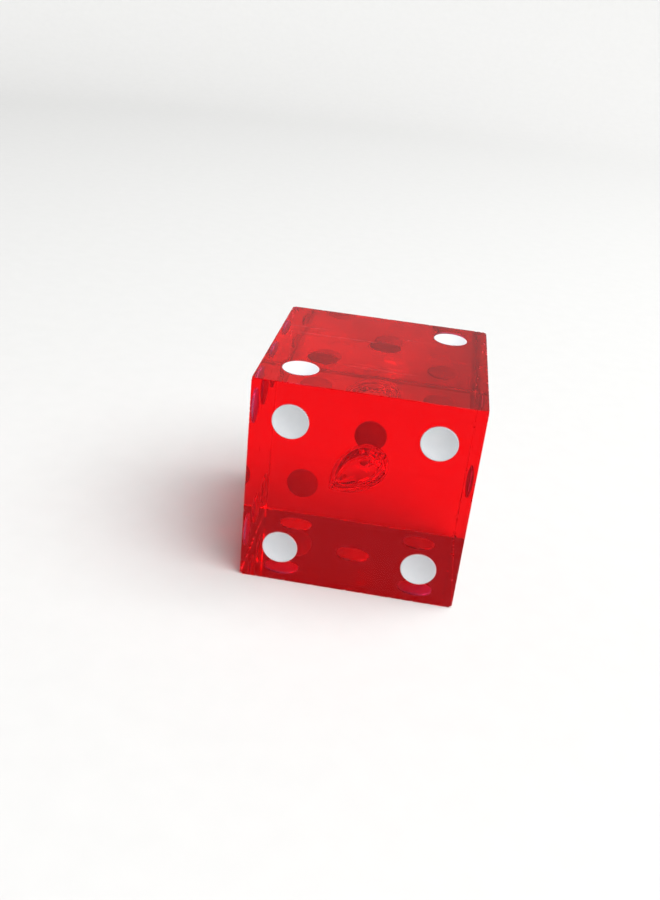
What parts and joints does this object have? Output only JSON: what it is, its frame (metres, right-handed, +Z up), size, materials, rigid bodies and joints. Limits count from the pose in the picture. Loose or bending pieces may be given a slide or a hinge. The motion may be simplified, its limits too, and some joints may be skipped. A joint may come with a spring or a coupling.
{
  "type": "casino die",
  "caption": "Cube of clear red plastic with nearly sharp edges, a trapped gas pocket and round dished white pips inlaid in all of its faces.",
  "frame": {"origin": "centre of the face that the die stands on, the five, at table level", "axes": "+Z up through the two, -Y out of the four, +Y out of the three, +X out of the one, -X out of the six"},
  "size_m": [0.019, 0.019, 0.0191],
  "materials": {
    "clear_red_plastic": "clear, polished, faintly scuffed",
    "white_enamel": "satin, dished"
  },
  "bodies": {
    "root": {"die_body": "clear_red_plastic", "pip_five_centre": "white_enamel", "pip_five_front_left": "white_enamel", "pip_five_front_right": "white_enamel", "pip_five_rear_left": "white_enamel", "pip_five_rear_right": "white_enamel", "pip_four_lower_left": "white_enamel", "pip_four_lower_right": "white_enamel", "pip_four_upper_left": "white_enamel", "pip_four_upper_right": "white_enamel", "pip_one_centre": "white_enamel", "pip_six_lower_front": "white_enamel", "pip_six_lower_middle": "white_enamel", "pip_six_lower_rear": "white_enamel", "pip_six_upper_front": "white_enamel", "pip_six_upper_middle": "white_enamel", "pip_six_upper_rear": "white_enamel", "pip_three_centre": "white_enamel", "pip_three_lower_left": "white_enamel", "pip_three_upper_right": "white_enamel", "pip_two_front_left": "white_enamel", "pip_two_rear_right": "white_enamel"}
  },
  "joints": []
}
